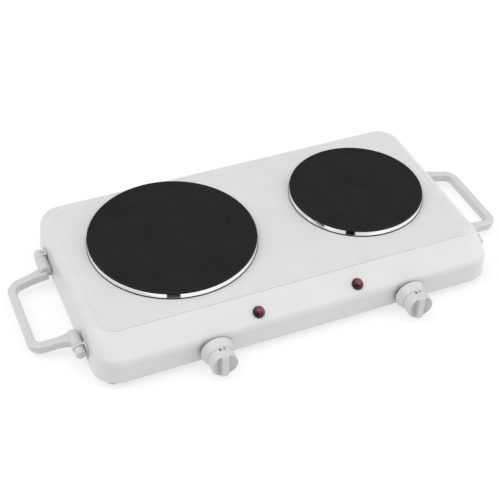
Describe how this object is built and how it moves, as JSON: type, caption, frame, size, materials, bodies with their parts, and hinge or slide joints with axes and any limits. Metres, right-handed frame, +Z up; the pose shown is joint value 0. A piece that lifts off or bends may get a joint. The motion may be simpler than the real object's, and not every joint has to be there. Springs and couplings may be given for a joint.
{
  "type": "hot plate burner",
  "caption": "Table-top electric hot plate: flat white pressed-steel body, a large and a small cast-iron plate side by side, front dial knobs, signal lamps and fold-up carrying handles.",
  "frame": {"origin": "on the table, under the middle of the whole object's box", "axes": "+X along the long side, from the large plate to the small one; +Y to the rear; +Z up. The knobs face -Y"},
  "size_m": [0.5668, 0.29, 0.063],
  "materials": {
    "white_enamel": "smooth gloss enamel",
    "plate_iron": "matt black heat-resistant coating",
    "trim_steel": "polished stainless",
    "zinc_steel": "zinc plated",
    "white_plastic": "satin moulded",
    "lens_red": "clear red lens",
    "foot_rubber": "soft grey",
    "ceramic": "unglazed ceramic",
    "dark_plastic": "moulded",
    "wire_sleeve": "woven heat-resistant sleeve",
    "heater_coil": "oxidised"
  },
  "bodies": {
    "housing": {"top_housing": "white_enamel", "base_plate": "zinc_steel", "heat_shield": "trim_steel", "front_left_foot": "foot_rubber", "front_left_foot_screw": "zinc_steel", "front_right_foot": "foot_rubber", "front_right_foot_screw": "zinc_steel", "rear_left_foot": "foot_rubber", "rear_left_foot_screw": "zinc_steel", "rear_right_foot": "foot_rubber", "rear_right_foot_screw": "zinc_steel", "large_plate": "plate_iron", "large_trim_ring": "trim_steel", "large_heating_coil": "heater_coil", "large_plate_cover": "zinc_steel", "large_clamp_strap": "zinc_steel", "large_clamp_nut": "zinc_steel", "large_plate_terminal": "ceramic", "large_thermal_cutout": "dark_plastic", "small_plate": "plate_iron", "small_trim_ring": "trim_steel", "small_heating_coil": "heater_coil", "small_plate_cover": "zinc_steel", "small_clamp_strap": "zinc_steel", "small_clamp_nut": "zinc_steel", "small_plate_terminal": "ceramic", "small_thermal_cutout": "dark_plastic", "left_front_bracket": "white_plastic", "left_rear_bracket": "white_plastic", "left_front_hinge_pin": "white_plastic", "left_rear_hinge_pin": "white_plastic", "left_thermostat": "ceramic", "left_thermostat_left_screw": "zinc_steel", "left_thermostat_right_screw": "zinc_steel", "left_lamp_lens": "lens_red", "left_lamp_holder": "dark_plastic", "left_live_wire": "wire_sleeve", "left_heater_wire": "wire_sleeve", "left_neutral_wire": "wire_sleeve", "right_front_bracket": "white_plastic", "right_rear_bracket": "white_plastic", "right_front_hinge_pin": "white_plastic", "right_rear_hinge_pin": "white_plastic", "right_thermostat": "ceramic", "right_thermostat_left_screw": "zinc_steel", "right_thermostat_right_screw": "zinc_steel", "right_lamp_lens": "lens_red", "right_lamp_holder": "dark_plastic", "right_live_wire": "wire_sleeve", "right_heater_wire": "wire_sleeve", "right_neutral_wire": "wire_sleeve", "cord_gland": "dark_plastic", "mains_terminal_block": "ceramic"},
    "left_control": {"left_knob": "white_plastic", "left_thermostat_shaft": "zinc_steel"},
    "right_control": {"right_knob": "white_plastic", "right_thermostat_shaft": "zinc_steel"},
    "left_carry_handle": {"left_handle": "white_plastic"},
    "right_carry_handle": {"right_handle": "white_plastic"}
  },
  "joints": [
    {"name": "left_knob_turn", "type": "hinge", "parent": "housing", "child": "left_control", "pos_m": [-0.1062, -0.1195, 0.0217], "axis": [0, 1, 0], "range_deg": [0, 300]},
    {"name": "right_knob_turn", "type": "hinge", "parent": "housing", "child": "right_control", "pos_m": [0.1208, -0.1195, 0.0217], "axis": [0, 1, 0], "range_deg": [0, 300]},
    {"name": "left_handle_fold", "type": "hinge", "parent": "housing", "child": "left_carry_handle", "pos_m": [-0.237, 0.0077, 0.0215], "axis": [0, 1, 0], "range_deg": [0, 95]},
    {"name": "right_handle_fold", "type": "hinge", "parent": "housing", "child": "right_carry_handle", "pos_m": [0.237, 0.0077, 0.0215], "axis": [0, -1, 0], "range_deg": [0, 95]}
  ]
}
